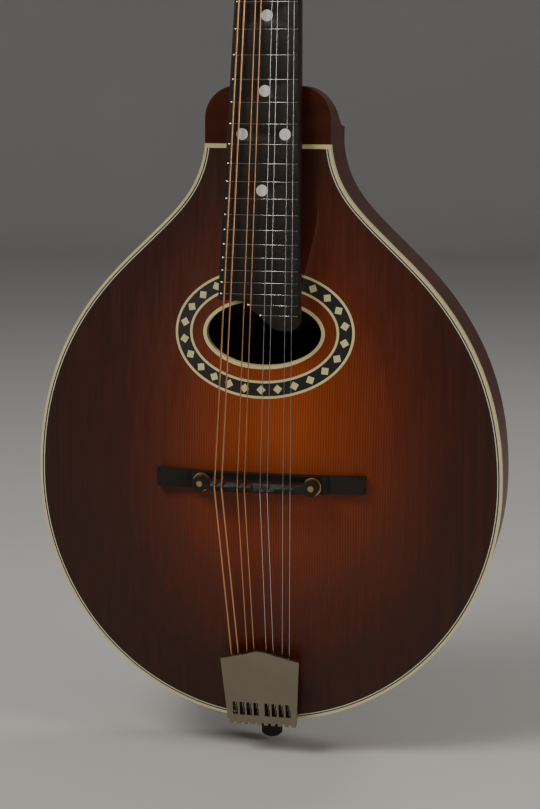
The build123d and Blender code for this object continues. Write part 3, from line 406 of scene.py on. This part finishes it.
def paint(obj, slot_name):
    """Give an object one slot's material, alone."""
    obj.data.materials.clear()
    obj.data.materials.append(MATERIALS[slot_name])


for node_name, node_object in frame["nodes"].items():
    paint(node_object, SLOT_OF[node_name])


# Building pieces


def add_object(name, mesh, slot_name, body, smooth_angle=40):
    """Put a finished mesh into the scene as a piece that rides on a body."""
    obj = bpy.data.objects.new(name, mesh)
    bpy.context.scene.collection.objects.link(obj)
    paint(obj, slot_name)
    if smooth_angle:
        mesh.shade_smooth()
        mesh.set_sharp_from_angle(angle=math.radians(smooth_angle))
    if body:
        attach(obj, body)
    return obj


def apply_modifiers(obj):
    """Bake an object's modifiers into its mesh."""
    graph = bpy.context.evaluated_depsgraph_get()
    shown = obj.evaluated_get(graph)
    mesh = bpy.data.meshes.new_from_object(shown, preserve_all_data_layers=True, depsgraph=graph)
    obj.modifiers.clear()
    old = obj.data
    obj.data = mesh
    bpy.data.meshes.remove(old)


def islands(node_name):
    """A CAD node's separate solids, each a bmesh."""
    whole = bmesh.new()
    whole.from_mesh(frame["nodes"][node_name].data)
    bmesh.ops.remove_doubles(whole, verts=whole.verts, dist=1e-6)
    whole.verts.ensure_lookup_table()
    seen = set()
    found = []
    for first in whole.verts:
        if first.index in seen:
            continue
        group = []
        stack = [first]
        seen.add(first.index)
        while stack:
            vert = stack.pop()
            group.append(vert)
            for edge in vert.link_edges:
                other = edge.other_vert(vert)
                if other.index not in seen:
                    seen.add(other.index)
                    stack.append(other)
        found.append(group)
    pieces = []
    for group in found:
        copy = bmesh.new()
        made = {vert.index: copy.verts.new(vert.co) for vert in group}
        for face in {face for vert in group for face in vert.link_faces}:
            copy.faces.new([made[vert.index] for vert in face.verts])
        pieces.append(copy)
    whole.free()
    return pieces


def centre_of(piece):
    """Mean of a bmesh's vertices."""
    total = Vector()
    for vert in piece.verts:
        total += vert.co
    return total / len(piece.verts)


def bevelled(name, piece, slot_name, body, width, segments=2, angle=32):
    """A CAD solid with its sharp edges eased, as worked wood and metal have."""
    bmesh.ops.dissolve_limit(piece, angle_limit=math.radians(0.5), verts=piece.verts, edges=piece.edges)
    mesh = bpy.data.meshes.new(name)
    piece.to_mesh(mesh)
    piece.free()
    obj = add_object(name, mesh, slot_name, body, smooth_angle=0)
    bevel = obj.modifiers.new("bevel", "BEVEL")
    bevel.width = width * MM
    bevel.segments = segments
    bevel.limit_method = "ANGLE"
    bevel.angle_limit = math.radians(angle)
    apply_modifiers(obj)
    obj.data.shade_smooth()
    obj.data.set_sharp_from_angle(angle=math.radians(40))
    return obj


def tube(name, points, radii, slot_name, body, sides=10):
    """A closed round tube through points, with one radius for each."""
    work = bmesh.new()
    rings = []
    for index, point in enumerate(points):
        before = points[max(index - 1, 0)]
        after = points[min(index + 1, len(points) - 1)]
        along = (after - before).normalized()
        across = along.cross(Vector((0.13, 0.9, 0.31))).normalized()
        other = along.cross(across)
        ring = []
        for step in range(sides):
            turn = 2 * math.pi * step / sides
            outward = across * math.cos(turn) + other * math.sin(turn)
            ring.append(work.verts.new(point + outward * radii[index]))
        rings.append(ring)
    for low, high in zip(rings, rings[1:]):
        for step in range(sides):
            nxt = (step + 1) % sides
            work.faces.new((low[step], low[nxt], high[nxt], high[step]))
    work.faces.new(list(reversed(rings[0])))
    work.faces.new(rings[-1])
    bmesh.ops.recalc_face_normals(work, faces=work.faces)
    mesh = bpy.data.meshes.new(name)
    work.to_mesh(mesh)
    work.free()
    return add_object(name, mesh, slot_name, body, smooth_angle=50)


# Frets with rounded ends


def make_frets():
    """Each fret's crown as a half-round bar with domed ends, over its tang."""
    work = bmesh.new()
    for piece in islands("frets"):
        xs = [vert.co.x for vert in piece.verts]
        low, high = min(xs), max(xs)
        middle = centre_of(piece)
        piece.free()
        up = (middle.z / math.cos(NECK_ANGLE)) / MM
        fret_bar(work, low / MM, high / MM, up)
    mesh = bpy.data.meshes.new("fret_wires")
    bmesh.ops.recalc_face_normals(work, faces=work.faces)
    work.to_mesh(mesh)
    work.free()
    obj = add_object("fret_wires", mesh, "fret_nickel", "instrument", smooth_angle=60)
    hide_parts("frets")


def fret_bar(work, low, high, up):
    """One domed bar across the board, its ends rounded over."""
    half_base = 0.98
    rows = []
    ends = 5
    stations = []
    for step in range(ends):
        turn = math.pi / 2 * step / (ends - 1)
        x = low + half_base * (1 - math.sin(turn)) * 0.9
        size = math.sin(turn + 0.12) if turn < 1.4 else 1
        stations.append((x, max(0.12, size)))
    stations += [(low + high - x, size) for x, size in reversed(stations)]
    stations.sort()
    for x, size in stations:
        row = []
        for step in range(9):
            turn = math.pi * step / 8
            across = half_base * math.cos(turn) * min(1, size)
            height = FRET_HEIGHT * math.sin(turn) * min(1, size)
            row.append(work.verts.new(on_board(x, up + across, height)))
        rows.append(row)
    for first, second in zip(rows, rows[1:]):
        for step in range(8):
            work.faces.new((first[step], first[step + 1], second[step + 1], second[step]))
        work.faces.new((first[8], first[0], second[0], second[8]))
    work.faces.new(rows[0])
    work.faces.new(list(reversed(rows[-1])))


# Strings


def string_x(index, course_spacing, pair_spacing):
    """Sideways place of string 0 to 7."""
    return (index // 2 - 1.5) * course_spacing + (index % 2 - 0.5) * pair_spacing


def hook_x(index):
    """Sideways place of a string's hook."""
    side = 1 if index > 3 else -1
    return (index - 3.5) * HOOK_SPACING + side * HOOK_GAP


def post_place(index):
    """Post of string 0 to 7: sideways and up the headstock."""
    side = 1 if index > 3 else -1
    rank = index if side < 0 else 7 - index
    return side * POST_HALF_SPACING, FIRST_POST + rank * POST_SPACING


def wound_line(points, radius, wound):
    """Points and radii along a string: a wound string's surface is a row of fine ridges."""
    step = WINDING_STEP * MM if wound else 8 * MM
    out = []
    radii = []
    travelled = 0.0
    for start, end in zip(points, points[1:]):
        length = (end - start).length
        count = max(1, int(length / step))
        for number in range(count):
            out.append(start.lerp(end, number / count))
            phase = (travelled + length * number / count) / (WINDING_PITCH * MM)
            ridge = 0.955 + 0.045 * math.cos(2 * math.pi * phase)
            radii.append(radius * ridge if wound else radius)
        travelled += length
    out.append(points[-1])
    radii.append(radius)
    return out, radii


def make_strings():
    """Eight strings. Each is two lengths that meet on the saddle."""
    for index in range(8):
        radius = STRING_RADIUS[index // 2] * MM
        wound = index < 4
        slot_name = "bronze_wound" if wound else "plain_steel"
        nut_x = string_x(index, NUT_COURSE_SPACING, NUT_PAIR_SPACING)
        nut = on_board(nut_x, 0.8, NUT_BASE + STRING_RADIUS[index // 2] + SEAT)
        offset = SADDLE_OFFSET[index // 2]
        lift = SADDLE_LIFT + STRING_RADIUS[index // 2] + SEAT
        saddle_x = string_x(index, SADDLE_COURSE_SPACING, SADDLE_PAIR_SPACING)
        saddle = on_body(saddle_x, SADDLE_STATION + offset, lift)
        hook = on_body(hook_x(index), HOOK_STATION - 3.4, HOOK_LIFT + 0.8)
        post_x, post_up = post_place(index)
        side = 1 if post_x > 0 else -1
        inner = POST_RADIUS + STRING_RADIUS[index // 2] + 0.1
        post = on_head(post_x - side * inner, post_up, WRAP_HEIGHT)
        course = "gdae"[index // 2]
        points, radii = wound_line([saddle, nut], radius, wound)
        front = tube(f"string_{index + 1}_speaking", points, radii, slot_name, None, 8)
        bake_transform(front)
        points, radii = wound_line([hook, saddle], radius, wound)
        back = tube(f"string_{index + 1}_tail", points, radii, slot_name, None, 8)
        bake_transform(back)
        points, radii = wound_line([nut, post], radius, wound)
        head = tube(f"string_{index + 1}_head", points, radii, slot_name, "instrument", 8)
        loop = make_loop(index, hook, saddle)
        for piece in (front, back, head, loop):
            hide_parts(f"strings_{course}")
        make_wrap(index, post_x, post_up)


def make_loop(index, hook, saddle):
    """The twist at the string's tail end and the loop over its hook."""
    along = (saddle - hook).normalized()
    points = []
    radii = []
    steps = 60
    for step in range(steps + 1):
        share = step / steps
        points.append(hook + along * (TWIST_LENGTH * MM * share))
        radii.append((0.50 + 0.10 * math.cos(2 * math.pi * TWIST_TURNS * share)) * MM)
    twist = tube(f"string_{index + 1}_twist", points, radii, "plain_steel", "instrument", 10)
    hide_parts(f"strings_{'gdae'[index // 2]}")
    centre = on_body(hook_x(index), HOOK_STATION, HOOK_LIFT)
    side_step = Vector((0.3 * MM, 0, 0))
    bend = []
    for degrees in range(30, -211, -20):
        turn = math.radians(degrees)
        bend.append(centre + Vector((math.cos(turn), -math.sin(turn), 0)) * LOOP_RADIUS * MM)
    line = [hook + side_step] + bend + [hook - side_step]
    radii = [LOOP_WIRE * MM] * len(line)
    return tube(f"string_{index + 1}_loop", line, radii, "plain_steel", "instrument", 8)


def make_wrap(index, post_x, post_up):
    """The turns of string round the post, rising up to its hole."""
    radius = STRING_RADIUS[index // 2]
    points = []
    side = 1 if post_x > 0 else -1
    steps = WRAP_TURNS * 28
    away = POST_RADIUS + radius
    for step in range(steps + 1):
        share = step / steps
        turn = math.pi / 2 + side * math.pi / 2 + side * 2 * math.pi * WRAP_TURNS * share
        height = WRAP_HEIGHT + radius * WRAP_TURNS * (2 * share - 1)
        points.append(on_head(post_x + away * math.cos(turn), post_up + away * math.sin(turn), height))
    slot_name = "bronze_wound" if index < 4 else "plain_steel"
    node_name = f"string_post_{index + 1}"
    radii = [radius * MM] * len(points)
    coil = tube(f"string_{index + 1}_wrap", points, radii, slot_name, node_name, 8)
    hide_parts(node_name)


# Tuners


def make_posts():
    """String posts with their brass gears and slotted gear screws, from the CAD solids."""
    for index in range(8):
        node_name = f"string_post_{index + 1}"
        pieces = islands(node_name)
        pieces.sort(key=lambda piece: max(vert.co.dot(HEAD_NORMAL) for vert in piece.verts))
        screw, gear, wrap, post = pieces
        wrap.free()
        for part, label, slot_name, width in (
            (screw, "screw", "nickel_plate", 0.25),
            (gear, "gear", "brass", 0.12),
            (post, "barrel", "nickel_plate", 0.15),
        ):
            piece = bevelled(f"tuner_{index + 1}_{label}", part, slot_name, node_name, width)
            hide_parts(node_name)


def make_button(index, up, side):
    """A tuner button: a waisted oval paddle with a collar where the shaft enters."""
    rows = [
        (0.0, 2.2, 2.2), (0.6, 2.9, 2.7), (2.2, 3.0, 2.8), (3.2, 4.4, 2.9), (5.0, 6.2, 3.2),
        (8.0, 7.0, 3.45), (11.0, 6.8, 3.3), (12.6, 5.6, 2.7), (13.4, 3.6, 1.8),
    ]
    work = bmesh.new()
    rings = []
    sides = 24
    for out, tall, thick in rows:
        ring = []
        for step in range(sides):
            turn = 2 * math.pi * step / sides
            x = side * (BUTTON_START + out)
            height = WORM_HEIGHT + thick * math.sin(turn)
            ring.append(work.verts.new(on_head(x, up + tall * math.cos(turn), height)))
        rings.append(ring)
    for low, high in zip(rings, rings[1:]):
        for step in range(sides):
            nxt = (step + 1) % sides
            work.faces.new((low[step], low[nxt], high[nxt], high[step]))
    work.faces.new(rings[0])
    work.faces.new(rings[-1])
    bmesh.ops.recalc_face_normals(work, faces=work.faces)
    mesh = bpy.data.meshes.new(f"tuner_button_{index + 1}")
    work.to_mesh(mesh)
    work.free()
    obj = add_object(f"tuner_button_{index + 1}", mesh, "ivoroid", f"tuner_key_{index + 1}", smooth_angle=0)
    smooth = obj.modifiers.new("smooth", "SUBSURF")
    smooth.levels = 2
    smooth.render_levels = 2
    apply_modifiers(obj)
    obj.data.shade_smooth()
    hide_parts(f"tuner_key_{index + 1}")


def make_keys():
    """Each key: the CAD worm and shaft in nickel, and a new button."""
    for index in range(8):
        node_name = f"tuner_key_{index + 1}"
        pieces = islands(node_name)
        pieces.sort(key=lambda piece: abs(centre_of(piece).x))
        shaft = bevelled(f"tuner_shaft_{index + 1}", pieces[0], "nickel_plate", node_name, 0.05, 1, 50)
        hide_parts(node_name)
        for spare in pieces[1:]:
            spare.free()
        post_x, post_up = post_place(index)
        side = 1 if post_x > 0 else -1
        make_button(index, post_up + WORM_OFFSET, side)


EASED = {
    "bridge_base": 0.7,
    "bridge_saddle": 0.25,
    "nut": 0.3,
    "truss_rod_cover": 0.35,
    "tuner_plate_bass": 0.2,
    "tuner_plate_treble": 0.2,
    "end_pin": 0.4,
    "heel_cap": 0.3,
    "fretboard": 0.2,
    "tailpiece_screws": 0.3,
    "headstock_screws": 0.2,
    "post_bushings": 0.2,
    "thumbwheel_bass": 0.08,
    "thumbwheel_treble": 0.08,
}
BODY_OF = {node: body for body, nodes in frame["record"]["behaviour"]["bodies"].items() for node in nodes}


def ease_edges():
    """Replace hard-edged CAD nodes with the same solids, their edges eased."""
    for node_name, width in EASED.items():
        for number, piece in enumerate(islands(node_name)):
            made = bevelled(f"{node_name}_eased_{number}", piece, SLOT_OF[node_name], BODY_OF[node_name], width)
            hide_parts(node_name)


def add_prism(work, corners, low, high):
    """A closed prism over corners given as (x, station), between two lifts."""
    ends = [[work.verts.new(on_body(x, station, lift)) for x, station in corners] for lift in (low, high)]
    count = len(corners)
    for step in range(count):
        nxt = (step + 1) % count
        work.faces.new((ends[0][step], ends[0][nxt], ends[1][nxt], ends[1][step]))
    work.faces.new(list(reversed(ends[0])))
    work.faces.new(ends[1])


def make_tailpiece():
    """The cast tailpiece with its scalloped end cut deeper and its edges eased."""
    cutter = bmesh.new()
    tail_end = BODY_LENGTH + LEG_REACH
    pitch = 2 * TAIL_HALF_WIDTH / SCALLOPS
    for number in range(SCALLOPS + 1):
        middle = -TAIL_HALF_WIDTH + pitch * number
        ring = []
        for step in range(20):
            turn = 2 * math.pi * step / 20
            x = middle + SCALLOP_RADIUS * math.cos(turn)
            ring.append((x, tail_end + SCALLOP_RADIUS * 1.6 * math.sin(turn)))
        add_prism(cutter, ring, 0.2, 12)
    bmesh.ops.recalc_face_normals(cutter, faces=cutter.faces)
    mesh = bpy.data.meshes.new("scallop_cutter")
    cutter.to_mesh(mesh)
    cutter.free()
    tool = bpy.data.objects.new("scallop_cutter", mesh)
    bpy.context.scene.collection.objects.link(tool)
    for number, piece in enumerate(islands("tailpiece")):
        bmesh.ops.dissolve_limit(piece, angle_limit=math.radians(0.5), verts=piece.verts, edges=piece.edges)
        plate = bpy.data.meshes.new(f"tailpiece_cast_{number}")
        piece.to_mesh(plate)
        piece.free()
        obj = add_object(f"tailpiece_cast_{number}", plate, "satin_nickel", "instrument", smooth_angle=0)
        cut = obj.modifiers.new("scallops", "BOOLEAN")
        cut.operation = "DIFFERENCE"
        cut.solver = "EXACT"
        cut.object = tool
        bevel = obj.modifiers.new("bevel", "BEVEL")
        bevel.width = 0.45 * MM
        bevel.segments = 3
        bevel.limit_method = "ANGLE"
        bevel.angle_limit = math.radians(35)
        apply_modifiers(obj)
        obj.data.shade_smooth()
        obj.data.set_sharp_from_angle(angle=math.radians(40))
        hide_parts("tailpiece")
    bpy.data.objects.remove(tool)


make_frets()
make_strings()
make_tailpiece()
make_posts()
make_keys()
ease_edges()


# Stage, light and camera


def make_stage():
    """A pale floor that curves up into a plain wall all the way round."""
    floor_z = cad_box[0].z - 0.004
    profile = [(0.02, 0.0), (1.2, 0.0), (FLOOR_RADIUS, 0.0)]
    for step in range(1, 13):
        turn = math.pi / 2 * step / 12
        profile.append((FLOOR_RADIUS + COVE_RADIUS * math.sin(turn), COVE_RADIUS * (1 - math.cos(turn))))
    profile.append((FLOOR_RADIUS + COVE_RADIUS, WALL_HEIGHT))
    work = bmesh.new()
    sides = 96
    rows = []
    for radius, height in profile:
        row = []
        for step in range(sides):
            turn = 2 * math.pi * step / sides
            row.append(work.verts.new((radius * math.cos(turn), radius * math.sin(turn), floor_z + height)))
        rows.append(row)
    for first, second in zip(rows, rows[1:]):
        for step in range(sides):
            nxt = (step + 1) % sides
            work.faces.new((first[step], first[nxt], second[nxt], second[step]))
    work.faces.new(rows[0])
    bmesh.ops.recalc_face_normals(work, faces=work.faces)
    mesh = bpy.data.meshes.new("floor")
    work.to_mesh(mesh)
    work.free()
    floor = bpy.data.objects.new("floor", mesh)
    bpy.context.scene.collection.objects.link(floor)
    s = Shader("floor_paint", roughness=0.8)
    s.colour(s.mix(s.noise(3, detail=2), (0.60, 0.59, 0.57), (0.64, 0.63, 0.61)))
    mesh.materials.append(s.material)
    mesh.shade_smooth()


def add_area(name, place, target, size, power, colour):
    """A soft square light aimed at a point."""
    data = bpy.data.lights.new(name, "AREA")
    data.shape = "SQUARE"
    data.size = size
    data.energy = power
    data.color = colour
    obj = bpy.data.objects.new(name, data)
    obj.location = place
    obj.rotation_euler = (Vector(target) - Vector(place)).to_track_quat("-Z", "Y").to_euler()
    obj.visible_camera = False
    bpy.context.scene.collection.objects.link(obj)


def make_light():
    """A big soft light high on the left, a weaker one on the right and a dim room."""
    aim = (0, 0, -0.25)
    add_area("key_light", (-0.75, -0.95, 0.85), aim, 0.7, 17, (1.0, 0.96, 0.90))
    add_area("fill_light", (1.3, -0.5, 0.15), aim, 0.5, 7, (1.0, 0.93, 0.86))
    add_area("rim_light", (0.9, 0.9, 0.9), aim, 0.6, 5, (1.0, 0.95, 0.9))
    world = bpy.data.worlds.new("studio")
    world.use_nodes = True
    world.node_tree.nodes["Background"].inputs["Color"].default_value = (0.9, 0.92, 1.0, 1)
    world.node_tree.nodes["Background"].inputs["Strength"].default_value = 0.16
    bpy.context.scene.world = world


def make_camera():
    """The photograph's viewpoint: a little above the bridge and to the right."""
    data = bpy.data.cameras.new("camera")
    data.sensor_width = 36
    data.lens = 82.3
    camera = bpy.data.objects.new("camera", data)
    camera.location = (0.1951, -0.9735, -0.1494)
    camera.rotation_euler = Euler([math.radians(a) for a in (80.475, -0.338, 11.489)])
    bpy.context.scene.collection.objects.link(camera)
    bpy.context.scene.camera = camera


make_stage()
make_light()
make_camera()
